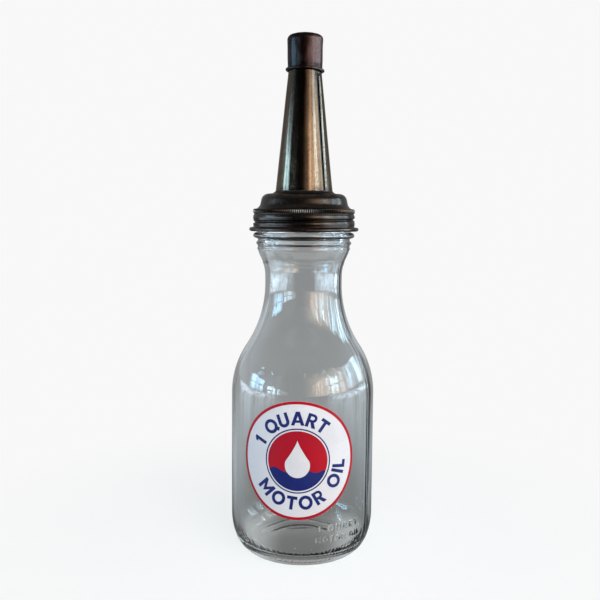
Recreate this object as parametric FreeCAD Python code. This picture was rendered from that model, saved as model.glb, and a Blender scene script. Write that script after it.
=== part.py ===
"""Glass motor-oil bottle with a screw-on metal pour spout and a slip-on tip cap.

Millimetres, +Z up. The origin is the centre of the bottle's base, on the surface it stands on.
-Y is the front, where the label is, and +X is to its right.
"""
import FreeCAD
import Part

import math
import os

# ---- Driving dimensions ----------------------------------------------------------------------

# Glass bottle
BODY_R = 50.8            # the straight body is four inches across
HEEL_RISE = 27.3         # height of the elliptical heel
HEEL_INSET = 14.6        # how far the heel draws in, down to the foot ring
FOOT_INNER_R = 31.0      # inside edge of the flat foot ring
PUSH_UP = 5.0            # depth of the hollow under the base
WALL = 3.0
FLOOR_Z = 7.0            # inside floor at the heel
FLOOR_CROWN = 3.5        # the floor follows the push-up and rises this much to the middle
SHOULDER_Z = 114.0       # top of the straight body
SHOULDER_R = 61.5        # radius of the shoulder's outward curve
SHOULDER_TURN = 33.6     # degrees the shoulder leans before it curves back
NECK_SWEEP_R = 80.0      # radius of the long inward curve up to the waist
WAIST_TOP_Z = 197.0
FLARE_R = 31.0           # the neck flares out again above the waist
FLARE_TOP_R = 30.0       # radius of the curve that turns it upright
NECK_TOP_R = 33.4
BEAD_R = 35.7            # transfer bead under the finish
BEAD_Z = (223.9, 227.9)
FINISH_R = 33.1          # finish, at the root of its thread
MOUTH_R = 29.6
RIM_Z = 242.0
RIM_ROUND = 1.3

# Screw thread of the glass finish and the collar
PITCH = 4.233            # six threads to the inch
GROOVE_FRONT_Z = 236.1   # height at which the collar's groove crosses the front
GROOVE_TURNS = 1.5
GROOVE_DEPTH = 0.95
GLASS_THREAD_R = 34.55
GLASS_THREAD_TURNS = 1.5

# Collar, one stamping
SHEET = 0.4
DOME_TOP_Z = 254.9
DOME_HOLE_R = 20.9
DOME_FLAT_R = 25.0
DOME_ROUND = 5.2
DOME_LEAN = 12.0         # degrees the dome's side leans from upright
DOME_SIDE = 2.9          # length of that side
COLLAR_FLARE_R = 4.9     # inward curve from the dome's side to the knurled bead
COLLAR_FLARE_END = 255.0
KNURL_R = 35.9
KNURL_Z = (240.7, 242.7, 244.3)
THREAD_WALL_R = 35.5     # outside of the wall that holds the thread
THREAD_WALL_Z = (232.3, 240.0)
EDGE_R = 38.5            # rolled lower edge
EDGE_CURL = 1.35
EDGE_Z = 230.2

# Gasket
GASKET_R = (30.0, 34.0)
GASKET_Z = (242.3, 243.5)

# Spout
CONE_FOOT_R = 20.2       # outside, level with the dome's top
CONE_TAPER = 0.1037      # radius lost per millimetre of height
CONE_TIP_Z = 359.4
TIP_HEM = 0.8
FOOT_BEND = 0.8
FOOT_FLANGE_R = 23.5
SEAM_AZIMUTH = 43.0      # degrees from the front towards +X
SEAM_WIDTH = 3.4
SEAM_HEIGHT = 0.45
SEAM_TOP_Z = 337.0       # the seam is dressed flat above this, where the cap goes on
SOLDER_R = 22.4
SOLDER_TOP_Z = 257.2

# Tip cap
CAP_R = 12.3             # outside of the wall, under the rounded top
CAP_MOUTH_R = 11.6       # inside, at the rim
CAP_CORNER = 3.5
CAP_TOP_Z = 363.5
CAP_EDGE_R = 13.5        # rolled rim
CAP_EDGE_Z = 339.7
LINER_R = 11.7
LINER_Z = (359.7, 362.9)
LINER_CHAMFER = (2.0, 2.6)   # in and down

# Label
LABEL_R = 40.5           # measured along the glass
LABEL_Z = 77.7
LABEL_AZIMUTH = -3.5     # degrees from the front towards +X
LABEL_THICKNESS = 0.25


# ---- Drawing helpers -------------------------------------------------------------------------

def at(r, z):
    """A point of an outline in the XZ plane, r from the axis."""
    return FreeCAD.Vector(r, 0, z)


def swing(centre, radius, degrees):
    """The point at that angle on a circle in the XZ plane."""
    turn = math.radians(degrees)
    return centre + at(radius * math.cos(turn), radius * math.sin(turn))


def arc(centre, radius, first, last):
    """A circular edge from one angle to the other, in degrees."""
    middle = swing(centre, radius, (first + last) / 2)
    return Part.Arc(swing(centre, radius, first), middle, swing(centre, radius, last)).toShape()


def curve(start, via, end):
    return Part.Arc(start, via, end).toShape()


def path(*pieces):
    """A wire through points and edges in order, with a straight edge across each gap."""
    edges = []
    end = None
    for piece in pieces:
        is_edge = isinstance(piece, Part.Shape)
        start = piece.valueAt(piece.FirstParameter) if is_edge else piece
        if end is not None and (start - end).Length > 1e-6:
            edges.append(Part.LineSegment(end, start).toShape())
        if is_edge:
            edges.append(piece)
        end = piece.valueAt(piece.LastParameter) if is_edge else piece
    return Part.Wire(edges)


def turned(face):
    return face.revolve(at(0, 0), at(0, 1), 360)


def turned_outline(*pieces):
    """The solid of revolution inside a closed outline, whose last point repeats its first."""
    return turned(Part.Face(path(*pieces)))


def turned_sheet(offset, *pieces):
    """Sheet metal along a path. A positive offset puts the sheet to the path's left."""
    return turned(path(*pieces).makeOffset2D(offset, 0, True, True))


def turned_by(shape, azimuth):
    copy = shape.copy()
    copy.rotate(at(0, 0), at(0, 1), azimuth)
    return copy


def helical_rib(surface_r, crest_r, foot_half, crest_half, azimuth, start_z, turns):
    """A right-hand rib along a helix, from an azimuth at the front, on a wall of surface_r."""
    root_r = surface_r - math.copysign(0.3, crest_r - surface_r)
    section = Part.makePolygon([at(root_r, -foot_half), at(root_r, foot_half),
                                at(crest_r, crest_half), at(crest_r, -crest_half),
                                at(root_r, -foot_half)])
    helix = Part.Wire(Part.makeHelix(PITCH, PITCH * turns, surface_r))
    rib = helix.makePipeShell([section], True, True)
    rib.translate(at(0, start_z))
    return turned_by(rib, azimuth - 90)


# ---- Glass bottle ----------------------------------------------------------------------------

def bottle_side(inset, top_r):
    """Edges up one face of the glass, from the straight body to the upright part of the neck."""
    shoulder = at(BODY_R - SHOULDER_R, SHOULDER_Z)
    sweep = swing(shoulder, SHOULDER_R + NECK_SWEEP_R, SHOULDER_TURN)
    waist_r = sweep.x - NECK_SWEEP_R - inset
    flare = at(waist_r + FLARE_R + inset, WAIST_TOP_Z)
    both = FLARE_R + FLARE_TOP_R
    flare_turn = math.degrees(math.acos(1 - (top_r - waist_r) / both))
    upright = swing(flare, both, 180 - flare_turn)
    return [arc(shoulder, SHOULDER_R - inset, 0, SHOULDER_TURN),
            arc(sweep, NECK_SWEEP_R + inset, 180 + SHOULDER_TURN, 180),
            arc(flare, FLARE_R + inset, 180, 180 - flare_turn),
            arc(upright, FLARE_TOP_R - inset, -flare_turn, 0)]


def heel(foot_z, body_r):
    """Quarter ellipse from the foot up to the straight body."""
    foot_r = BODY_R - HEEL_INSET
    ellipse = Part.Ellipse(at(foot_r, foot_z), at(body_r, HEEL_RISE), at(foot_r, HEEL_RISE))
    return Part.ArcOfEllipse(ellipse, 0, math.pi / 2).toShape()


def glass_bottle():
    push_r = (FOOT_INNER_R ** 2 + PUSH_UP ** 2) / (2 * PUSH_UP)
    push_angle = math.degrees(math.acos(FOOT_INNER_R / push_r))
    bead_low, bead_high = BEAD_Z
    round_z = RIM_Z - RIM_ROUND
    outside = turned_outline(
        arc(at(0, PUSH_UP - push_r), push_r, 90, push_angle),
        heel(0, BODY_R),
        *bottle_side(0, NECK_TOP_R),
        curve(at(NECK_TOP_R, bead_low), at(BEAD_R, (bead_low + bead_high) / 2),
              at(NECK_TOP_R, bead_high)),
        at(FINISH_R, bead_high),
        arc(at(FINISH_R - RIM_ROUND, round_z), RIM_ROUND, 0, 90),
        at(0, RIM_Z),
        at(0, PUSH_UP))
    inner_foot_r = BODY_R - HEEL_INSET
    inside = turned_outline(
        curve(at(0, FLOOR_Z + FLOOR_CROWN), at(inner_foot_r * 0.5, FLOOR_Z + FLOOR_CROWN * 0.76),
              at(inner_foot_r, FLOOR_Z)),
        heel(FLOOR_Z, BODY_R - WALL),
        *bottle_side(WALL, MOUTH_R),
        arc(at(MOUTH_R + RIM_ROUND, round_z), RIM_ROUND, 180, 90),
        at(MOUTH_R + RIM_ROUND, RIM_Z + 1),
        at(0, RIM_Z + 1),
        at(0, FLOOR_Z + FLOOR_CROWN))
    thread = helical_rib(FINISH_R, GLASS_THREAD_R, 1.1, 0.4, 180, GROOVE_FRONT_Z - PITCH,
                         GLASS_THREAD_TURNS)
    return outside.fuse(thread).cut(inside).removeSplitter()


def label_decal():
    """A disc that is round when measured along the glass, wrapped on the front of the body."""
    rim = []
    steps = 36
    for step in range(steps):
        turn = 2 * math.pi * step / steps
        along = LABEL_R * math.cos(turn) / BODY_R
        rim.append(at(BODY_R * math.sin(along), LABEL_Z + LABEL_R * math.sin(turn)))
    outline = Part.BSplineCurve()
    outline.interpolate(Points=rim, PeriodicFlag=True)
    prism = Part.Face(Part.Wire(outline.toShape())).extrude(FreeCAD.Vector(0, -2 * BODY_R, 0))
    height = 3 * LABEL_R
    low = at(0, LABEL_Z - height / 2)
    skin = Part.makeCylinder(BODY_R + LABEL_THICKNESS, height, low)
    skin = skin.cut(Part.makeCylinder(BODY_R, height, low))
    return turned_by(prism.common(skin), LABEL_AZIMUTH)


# ---- Collar and gasket -----------------------------------------------------------------------

def collar_shell():
    dome = at(DOME_FLAT_R, DOME_TOP_Z - DOME_ROUND)
    side_top = swing(dome, DOME_ROUND, DOME_LEAN)
    side_foot = swing(side_top, DOME_SIDE, DOME_LEAN - 90)
    flare = swing(side_foot, COLLAR_FLARE_R, DOME_LEAN)
    knurl_low, knurl_middle, knurl_high = KNURL_Z
    wall_low, wall_high = THREAD_WALL_Z
    edge = at(EDGE_R - EDGE_CURL, EDGE_Z)
    edge_top = EDGE_Z + EDGE_CURL
    corner = wall_low - edge_top
    shell = turned_sheet(
        -SHEET,
        at(DOME_HOLE_R, DOME_TOP_Z),
        arc(dome, DOME_ROUND, 90, DOME_LEAN),
        arc(flare, COLLAR_FLARE_R, 180 + DOME_LEAN, COLLAR_FLARE_END),
        curve(at(KNURL_R - 1.4, knurl_high), at(KNURL_R, knurl_middle),
              at(KNURL_R - 0.8, knurl_low)),
        at(THREAD_WALL_R, wall_high),
        arc(at(THREAD_WALL_R + corner, wall_low), corner, 180, 270),
        arc(edge, EDGE_CURL, 90, -180))
    # The thread is rolled into the wall: a groove outside and a rib inside, both at one height.
    groove_z = GROOVE_FRONT_Z - 0.75 * PITCH
    inner_r = THREAD_WALL_R - SHEET
    rib = helical_rib(inner_r, inner_r - GROOVE_DEPTH, 1.25, 0.75, 90, groove_z, GROOVE_TURNS)
    groove = helical_rib(THREAD_WALL_R, THREAD_WALL_R - GROOVE_DEPTH, 0.95, 0.45, 90, groove_z,
                         GROOVE_TURNS)
    return shell.fuse(rib).cut(groove).removeSplitter()


def seal_gasket():
    inner, outer = GASKET_R
    low, high = GASKET_Z
    return turned_outline(at(inner, low), at(outer, low), at(outer, high), at(inner, high),
                          at(inner, low))


# ---- Spout -----------------------------------------------------------------------------------

def cone_r(z):
    """Outside radius of the spout at a height."""
    return CONE_FOOT_R - CONE_TAPER * (z - DOME_TOP_Z)


def spout_cone():
    lean = math.degrees(math.atan(CONE_TAPER))
    hem_z = CONE_TIP_Z - TIP_HEM
    bend_z = DOME_TOP_Z - SHEET + FOOT_BEND
    sheet = turned_sheet(
        -SHEET,
        arc(at(cone_r(hem_z) - TIP_HEM, hem_z), TIP_HEM, 180, lean),
        arc(at(cone_r(bend_z) + FOOT_BEND, bend_z), FOOT_BEND, 180, 270),
        at(FOOT_FLANGE_R, DOME_TOP_Z - SHEET))
    seam_low = SOLDER_TOP_Z + 0.5
    seam = Part.makeCone(cone_r(seam_low) + SEAM_HEIGHT, cone_r(SEAM_TOP_Z) + SEAM_HEIGHT,
                         SEAM_TOP_Z - seam_low, at(0, seam_low))
    bore = Part.makeCone(cone_r(seam_low) - SHEET / 2, cone_r(SEAM_TOP_Z) - SHEET / 2,
                         SEAM_TOP_Z - seam_low, at(0, seam_low))
    slab = Part.makeBox(SEAM_WIDTH, 2 * CONE_FOOT_R, SEAM_TOP_Z,
                        FreeCAD.Vector(-SEAM_WIDTH / 2, -2 * CONE_FOOT_R, 0))
    seam = turned_by(seam.common(slab).cut(bore), SEAM_AZIMUTH)
    return sheet.fuse(seam).removeSplitter()


def solder_bead():
    step = 0.7
    return turned_outline(
        at(cone_r(SOLDER_TOP_Z), SOLDER_TOP_Z),
        curve(at(cone_r(SOLDER_TOP_Z) + 0.15, SOLDER_TOP_Z), at(SOLDER_R - 1.2, DOME_TOP_Z + 1.1),
              at(SOLDER_R, DOME_TOP_Z)),
        at(cone_r(DOME_TOP_Z) + 0.3, DOME_TOP_Z),
        at(cone_r(DOME_TOP_Z + step), DOME_TOP_Z + step),
        at(cone_r(SOLDER_TOP_Z), SOLDER_TOP_Z))


# ---- Tip cap ---------------------------------------------------------------------------------

def tip_cap():
    curl = (CAP_EDGE_R - CAP_MOUTH_R) / 2
    corner_r = CAP_CORNER - SHEET
    inner_r = CAP_R - SHEET
    return turned_sheet(
        SHEET,
        at(0, CAP_TOP_Z - SHEET),
        arc(at(inner_r - corner_r, CAP_TOP_Z - CAP_CORNER), corner_r, 90, 0),
        at(CAP_MOUTH_R, CAP_EDGE_Z + 2 * curl),
        arc(at(CAP_MOUTH_R + curl, CAP_EDGE_Z), curl, 180, 450))


def cap_liner():
    low, high = LINER_Z
    inward, down = LINER_CHAMFER
    return turned_outline(at(0, low), at(LINER_R, low), at(LINER_R, high - down),
                          at(LINER_R - inward, high), at(0, high), at(0, low))


# ---- Write one file per piece ----------------------------------------------------------------

PIECES = (glass_bottle, label_decal, seal_gasket, collar_shell, spout_cone, solder_bead,
          tip_cap, cap_liner)

os.makedirs("parts", exist_ok=True)
for piece in PIECES:
    shape = piece()
    if shape.ShapeType == "Compound" and len(shape.Solids) == 1:
        shape = shape.Solids[0]
    box = shape.BoundBox
    print(piece.__name__, shape.ShapeType, "valid" if shape.isValid() else "INVALID",
          len(shape.Solids), "solid", round(shape.Volume / 1000, 2), "cm3",
          "z", round(box.ZMin, 2), round(box.ZMax, 2), "r", round(box.XMax, 2))
    shape.exportStep(f"parts/{piece.__name__}.step")
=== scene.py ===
"""Glass motor-oil bottle with a screw-on pour spout: fine shapes, looks, light and camera.

The pieces are worked out in millimetres, the stage, light and camera in metres. Z is up and the
label faces -Y.
"""

import math

import bmesh
import bpy
import numpy as np
from mathutils import Matrix, Vector


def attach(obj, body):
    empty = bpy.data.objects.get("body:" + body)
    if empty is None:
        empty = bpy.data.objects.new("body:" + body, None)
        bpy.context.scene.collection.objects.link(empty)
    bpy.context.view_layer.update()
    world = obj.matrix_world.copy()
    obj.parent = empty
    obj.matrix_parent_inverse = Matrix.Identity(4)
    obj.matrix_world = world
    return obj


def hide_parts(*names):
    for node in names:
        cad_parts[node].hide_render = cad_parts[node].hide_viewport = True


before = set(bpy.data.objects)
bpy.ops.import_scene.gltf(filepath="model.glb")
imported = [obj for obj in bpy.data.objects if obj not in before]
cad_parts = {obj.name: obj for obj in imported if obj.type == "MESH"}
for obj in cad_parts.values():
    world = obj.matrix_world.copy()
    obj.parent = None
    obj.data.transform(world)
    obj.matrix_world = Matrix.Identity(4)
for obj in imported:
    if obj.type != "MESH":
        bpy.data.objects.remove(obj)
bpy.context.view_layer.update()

MM = 0.001
TAU = 2 * math.pi

# ---- Sizes in millimetres, the same as in the CAD model ----

BODY_R = 50.8
HEEL_RISE = 27.3
HEEL_INSET = 14.6
FOOT_INNER_R = 31.0
PUSH_UP = 5.0
WALL = 3.0
FLOOR_Z = 7.0
FLOOR_CROWN = 3.5
SHOULDER_Z = 114.0
SHOULDER_R = 61.5
SHOULDER_TURN = 33.6
NECK_SWEEP_R = 80.0
WAIST_TOP_Z = 197.0
FLARE_R = 31.0
FLARE_TOP_R = 30.0
NECK_TOP_R = 33.4
BEAD_R = 35.7
BEAD_Z = (223.9, 227.9)
FINISH_R = 33.1
MOUTH_R = 29.6
RIM_Z = 242.0
RIM_ROUND = 1.3

PITCH = 4.233
GROOVE_FRONT_Z = 236.1
THREAD_TURNS = 1.5

SHEET = 0.4
DOME_TOP_Z = 254.9
DOME_HOLE_R = 20.9
DOME_FLAT_R = 25.0
DOME_ROUND = 5.2
DOME_LEAN = 12.0
DOME_SIDE = 2.9
COLLAR_FLARE_R = 4.9
KNURL_R = 35.9
KNURL_Z = (240.7, 242.7, 244.3)
KNURL_TEETH = 156
KNURL_DEPTH = 0.55
GROOVE_DEPTH = 0.95
THREAD_WALL_R = 35.5
THREAD_WALL_Z = (232.3, 240.0)
EDGE_R = 38.5
EDGE_CURL = 1.35
EDGE_Z = 230.2

CONE_FOOT_R = 20.2
CONE_TAPER = 0.1037
CONE_TIP_Z = 359.4
TIP_HEM = 0.8
FOOT_BEND = 0.8
FOOT_FLANGE_R = 23.5
SEAM_AZIMUTH = math.radians(43.0)
SOLDER_R = 22.4
SOLDER_TOP_Z = 257.2

CAP_R = 12.3
CAP_MOUTH_R = 11.6
CAP_CORNER = 3.5
CAP_TOP_Z = 363.5
CAP_EDGE_R = 13.5
CAP_EDGE_Z = 339.7

LABEL_R = 40.5
LABEL_Z = 77.7
LABEL_AZIMUTH = math.radians(-3.5)


# ---- Outlines: lists of (r, z) ----

def arc_points(centre, radius, first, last, step=1.0):
    """Points along a circular arc, in degrees, about step millimetres apart."""
    count = max(3, int(abs(math.radians(last - first)) * radius / step) + 1)
    turns = np.radians(np.linspace(first, last, count))
    return [(centre[0] + radius * math.cos(t), centre[1] + radius * math.sin(t)) for t in turns]


def swing(centre, radius, degrees):
    turn = math.radians(degrees)
    return centre[0] + radius * math.cos(turn), centre[1] + radius * math.sin(turn)


def straight(start, end, step=1.0):
    count = max(2, int(math.dist(start, end) / step) + 1)
    return [tuple(p) for p in np.linspace(start, end, count)]


def chain(*runs):
    """One outline from several runs of points, without repeated points."""
    outline = []
    for run in runs:
        for point in run:
            if not outline or math.dist(point, outline[-1]) > 1e-4:
                outline.append((float(point[0]), float(point[1])))
    return outline


def offset_outline(outline, distance):
    """The outline moved sideways; a positive distance moves it to its own left."""
    points = np.array(outline)
    along = np.gradient(points, axis=0)
    along /= np.linalg.norm(along, axis=1)[:, None]
    return points + distance * np.stack([-along[:, 1], along[:, 0]], 1)


# ---- Turned meshes ----

def ripple(seed, angle, height, around, up, strength):
    """A smooth random field, periodic around the axis.

    around bounds its waves in one turn, up its waves in a metre of height.
    """
    rng = np.random.default_rng(seed)
    total = np.zeros(np.broadcast(angle, height).shape)
    for _ in range(9):
        turns = rng.integers(around[0], around[1] + 1)
        rise = rng.uniform(*up) * rng.choice((-1, 1))
        total = total + np.sin(turns * angle + TAU * height / 1000 * rise + rng.uniform(0, TAU))
    return total * strength / 3


def smooth_step(low, high, value):
    t = np.clip((value - low) / (high - low), 0, 1)
    return t * t * (3 - 2 * t)


def bell(value, middle, width):
    return np.exp(-((value - middle) / width) ** 2)


def wrapped(angle):
    """The same angle, brought between -pi and pi."""
    return np.mod(angle + math.pi, TAU) - math.pi


def add_object(name, data):
    thing = bpy.data.objects.new(name, data)
    bpy.context.scene.collection.objects.link(thing)
    return thing


def shaded_object(name, mesh, material, smooth_angle):
    """An object for the mesh, shaded smooth except at edges sharper than smooth_angle."""
    mesh.shade_smooth()
    mesh.set_sharp_from_angle(angle=math.radians(smooth_angle))
    mesh.materials.append(material)
    return add_object(name, mesh)


def lathe(name, outline, columns, body, material, shape=None, angles=None, worn=None,
          smooth_angle=40):
    """Turns a closed outline about Z. shape(r, z, angle) may move each point.

    Angles run from the front (-Y) towards +X. An outline that starts and ends on the axis gets
    poles there. angles(r) may space the columns unevenly. worn(r, z, angle) says, for the
    material to read, how far the finish is rubbed away at each point, or clogged where negative;
    on the cap it also holds a painted highlight on one side and painted shade on the other.
    """
    rows = np.array(outline)
    on_axis = abs(rows[0][0]) < 1e-6
    ring_rows = rows[1:-1] if on_axis else rows
    radius, height = ring_rows[:, :1], ring_rows[:, 1:]
    if angles is None:
        angle = np.linspace(0, TAU, columns, endpoint=False)[None, :] + 0 * radius
    else:
        angle = angles(radius)
        columns = angle.shape[1]
    r, z = radius + 0 * angle, height + 0 * angle
    wear_and_painted_light = np.clip(worn(r, z, angle), -1, 1).ravel().tolist() if worn else None
    if shape:
        r, z = shape(r, z, angle)
    xyz = np.stack([r * np.sin(angle), -r * np.cos(angle), z], -1).reshape(-1, 3) * MM
    count = len(ring_rows)
    here = np.arange(columns)
    there = (here + 1) % columns
    quads = []
    last = count if not on_axis else count - 1
    for row in range(last):
        a, b = row * columns, (row + 1) % count * columns
        quads.append(np.stack([a + here, a + there, b + there, b + here], 1))
    faces = np.concatenate(quads).tolist()
    verts = xyz.tolist()
    if on_axis:
        first_pole, last_pole = len(verts), len(verts) + 1
        verts += [[0, 0, rows[0][1] * MM], [0, 0, rows[-1][1] * MM]]
        top = (count - 1) * columns
        faces += [[first_pole, int(j), int(i)] for i, j in zip(here, there)]
        faces += [[last_pole, int(top + i), int(top + j)] for i, j in zip(here, there)]
    mesh = bpy.data.meshes.new(name)
    mesh.from_pydata(verts, [], faces)
    mesh.update()
    piece = shaded_object(name, mesh, material, smooth_angle)
    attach(piece, body)
    if worn:
        wear_and_painted_light += [0.0] * (len(verts) - len(wear_and_painted_light))
        attribute = piece.data.attributes.new("wear_and_painted_light", "FLOAT", "POINT")
        attribute.data.foreach_set("value", wear_and_painted_light)
    return piece


def helix_rise(angle, height, start_angle, start_z, turns, fade):
    """Distance above the nearest turn of a right-hand thread, and how fully formed it is there."""
    best = np.full(angle.shape, 1e3)
    formed = np.zeros(angle.shape)
    for lap in range(-1, 4):
        along = angle + TAU * lap - start_angle
        rise = height - (start_z + PITCH * along / TAU)
        here = smooth_step(0, fade, along) * smooth_step(0, fade, turns * TAU - along)
        nearer = (np.abs(rise) < np.abs(best)) & (here > 0)
        best = np.where(nearer, rise, best)
        formed = np.where(nearer, here, formed)
    return best, formed


# ---- Materials ----

class Nodes:
    """The node tree of a material or world under construction. Each method returns a socket."""

    def __init__(self, owner, output="OutputMaterial"):
        owner.use_nodes = True
        self.owner = owner
        self.tree = owner.node_tree
        self.tree.nodes.clear()
        self.out = self.tree.nodes.new("ShaderNode" + output)

    def node(self, kind, inputs=None, output=0, **settings):
        node = self.tree.nodes.new("ShaderNode" + kind)
        for key, value in settings.items():
            setattr(node, key, value)
        for key, value in (inputs or {}).items():
            if isinstance(value, bpy.types.NodeSocket):
                self.tree.links.new(value, node.inputs[key])
            else:
                node.inputs[key].default_value = value
        return node.outputs[output]

    def place(self, stretch=(1, 1, 1)):
        """Object coordinates in metres, stretched."""
        coords = self.node("TexCoord", output=3)
        return self.node("Mapping", {"Vector": coords, "Scale": stretch})

    def noise(self, scale, detail=4.0, roughness=0.55, stretch=(1, 1, 1), distortion=0.0):
        return self.node("TexNoise", {"Vector": self.place(stretch), "Scale": scale,
                                      "Detail": detail, "Roughness": roughness,
                                      "Distortion": distortion})

    def ramp(self, factor, *stops):
        """A colour ramp; each stop is (position, colour or grey)."""
        socket = self.node("ValToRGB", {"Fac": factor})
        elements = socket.node.color_ramp.elements
        while len(elements) < len(stops):
            elements.new(0.5)
        for element, (position, colour) in zip(elements, stops):
            element.position = position
            grey = isinstance(colour, (int, float))
            element.color = (*((colour,) * 3 if grey else colour), 1)
        return socket

    def mix(self, factor, first, second, blend="MIX"):
        node = self.tree.nodes.new("ShaderNodeMix")
        node.data_type = "RGBA"
        node.blend_type = blend
        for key, value in ((0, factor), (6, first), (7, second)):
            if isinstance(value, bpy.types.NodeSocket):
                self.tree.links.new(value, node.inputs[key])
            else:
                node.inputs[key].default_value = value if key == 0 else (*value, 1)
        return node.outputs[2]

    def math(self, operation, first, second=0.5, clamp=False):
        return self.node("Math", {0: first, 1: second}, operation=operation, use_clamp=clamp)

    def times(self, first, second):
        return self.math("MULTIPLY", first, second)

    def remap(self, value, start, end, low=0.0, high=1.0, **settings):
        """low at start, high at end."""
        return self.node("MapRange", {"Value": value, "From Min": start, "From Max": end,
                                      "To Min": low, "To Max": high}, **settings)

    def ease(self, value, start, end):
        """0 before start, 1 after end, and smooth between."""
        return self.remap(value, start, end, interpolation_type="SMOOTHSTEP")

    def bump(self, height, distance, strength=1.0, normal=None):
        inputs = {"Height": height, "Distance": distance, "Strength": strength}
        if normal is not None:
            inputs["Normal"] = normal
        return self.node("Bump", inputs)

    def surface(self, shader):
        self.tree.links.new(shader, self.out.inputs["Surface"])
        return self.owner

    def principled(self, **inputs):
        named = {key.replace("_", " "): value for key, value in inputs.items()}
        return self.node("BsdfPrincipled", named)


def new_material(name):
    return Nodes(bpy.data.materials.new(name))


# grime, and also the painted shade on one side of the cap
GRIME_AND_PAINTED_SHADE = (0.004, 0.003, 0.003)
EDGE_TINT = (0.4, 0.36, 0.33, 1)  # keeps the metals brown where they turn away


def glass_material():
    s = new_material("clear_glass")
    waves = s.noise(38, detail=2, stretch=(1, 1, 0.35))
    cords = s.noise(240, detail=3, stretch=(1, 1, 0.12))
    normal = s.bump(waves, distance=0.0011, strength=0.16)
    normal = s.bump(cords, distance=0.00012, strength=0.3, normal=normal)
    tint = s.ramp(s.noise(30, detail=2), (0.3, (0.97, 0.982, 0.98)), (0.7, (0.985, 0.992, 0.99)))
    glass = s.principled(Base_Color=tint, Roughness=0.0, IOR=1.51,
                         Transmission_Weight=1.0, Normal=normal)
    clear = s.node("BsdfTransparent", {"Color": (0.9, 0.92, 0.91, 1)})
    shadow = s.node("LightPath", output=1)
    return s.surface(s.node("MixShader", {0: shadow, 1: glass, 2: clear}))


def patina_metal(name, dark, mid, worn, roughness, mottle=1.0, scale=1.0, pits=0.6,
                 coat=0.3, coat_roughness=0.14):
    """Darkened tinplate: mottled oxide, bare metal where it is rubbed, grime and fine pits; on the
    cap the bare metal also paints a highlight on one side and the grime paints shade on the other.
    """
    s = new_material(name)
    cloud = s.noise(70 * scale, detail=6, roughness=0.62, distortion=0.4)
    fine = s.noise(620 * scale, detail=5, roughness=0.7)
    streak = s.noise(330 * scale, detail=4, stretch=(1, 1, 0.1))
    half = 0.3 / mottle
    base = s.mix(s.ramp(cloud, (0.5 - half, 0.0), (0.5 + half, 1.0)), dark, mid)
    streaked = s.ramp(streak, (0.38, 0.75), (0.62, 1.0))
    base = s.mix(1.0, base, streaked, "MULTIPLY")
    # Positive wear gives bare metal and negative gives grime; on the cap they also carry a painted
    # highlight and painted shade.
    edges = s.node("Attribute", output=2, attribute_name="wear_and_painted_light")
    rubbed = s.times(s.math("MAXIMUM", edges, 0.0),
                    s.ramp(fine, (0.36, 0.25), (0.56, 1.0)))
    base = s.mix(rubbed, base, worn)
    clogged = s.math("MULTIPLY", edges, -1.0, clamp=True)
    base = s.mix(clogged, base, GRIME_AND_PAINTED_SHADE)
    specks = s.ramp(fine, (0.3, 0.3), (0.42, 1.0))
    base = s.mix(1.0, base, specks, "MULTIPLY")
    low, high = roughness
    rough = s.remap(s.mix(0.5, cloud, fine), 0.35, 0.65, low, high)
    normal = s.bump(fine, 0.00006, pits)
    normal = s.bump(streak, 0.00004, 0.5, normal)
    return s.surface(s.principled(Base_Color=base, Metallic=1.0, Roughness=rough, Normal=normal,
                                  Coat_Weight=coat, Coat_Roughness=coat_roughness,
                                  Coat_IOR=1.55, Specular_Tint=EDGE_TINT))


def ink_material(name, colour, faded, roughness=0.42):
    s = new_material(name)
    cloud = s.noise(45, detail=5)
    grain = s.noise(1400, detail=3)
    base = s.mix(s.ramp(cloud, (0.35, 0.0), (0.75, 1.0)), colour, faded)
    base = s.mix(0.3, base, s.ramp(grain, (0.25, 0.72), (0.55, 1.0)), "MULTIPLY")
    rough = s.remap(cloud, 0.0, 1.0, roughness, roughness + 0.2)
    normal = s.bump(grain, 0.00002, 0.4)
    return s.surface(s.principled(Base_Color=base, Roughness=rough, Normal=normal,
                                  Specular_IOR_Level=0.25))


def cork_material():
    s = new_material("cork")
    cells = s.node("TexVoronoi", {"Vector": s.place(), "Scale": 900.0})
    base = s.ramp(cells, (0.1, (0.16, 0.085, 0.04)), (0.6, (0.42, 0.26, 0.14)))
    return s.surface(s.principled(Base_Color=base, Roughness=0.85,
                                  Normal=s.bump(cells, 0.0002, 0.6)))


def gasket_material():
    s = new_material("gasket_composition")
    grain = s.noise(700, detail=5)
    base = s.ramp(grain, (0.35, (0.012, 0.011, 0.01)), (0.7, (0.05, 0.042, 0.036)))
    return s.surface(s.principled(Base_Color=base, Roughness=0.8, Normal=s.bump(grain, 0.0001)))


GLASS = glass_material()
COLLAR = patina_metal("darkened_collar", (0.018, 0.012, 0.01), (0.066, 0.048, 0.037),
                      (0.36, 0.28, 0.21), roughness=(0.24, 0.4), coat=0.45, coat_roughness=0.18)
SPOUT = patina_metal("worn_tinplate", (0.1, 0.069, 0.043), (0.19, 0.142, 0.104),
                     (0.42, 0.35, 0.28), roughness=(0.1, 0.2), mottle=1.1)
SOLDER = patina_metal("dull_solder", (0.03, 0.027, 0.025), (0.12, 0.11, 0.105),
                      (0.4, 0.38, 0.36), roughness=(0.35, 0.6), mottle=1.5, scale=1.6, coat=0.2)
CAP = patina_metal("dark_cap", (0.011, 0.003, 0.004), (0.05, 0.02, 0.024),
                   (0.2, 0.12, 0.1), roughness=(0.28, 0.48), mottle=2.0, scale=1.8, pits=1.8,
                   coat_roughness=0.24)
WHITE_INK = ink_material("white_ink", (0.7, 0.7, 0.735), (0.62, 0.62, 0.66))
RED_INK = ink_material("red_ink", (0.42, 0.004, 0.016), (0.34, 0.006, 0.02))
NAVY_INK = ink_material("navy_ink", (0.008, 0.016, 0.13), (0.016, 0.026, 0.15))


# ---- Glass bottle ----

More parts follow.
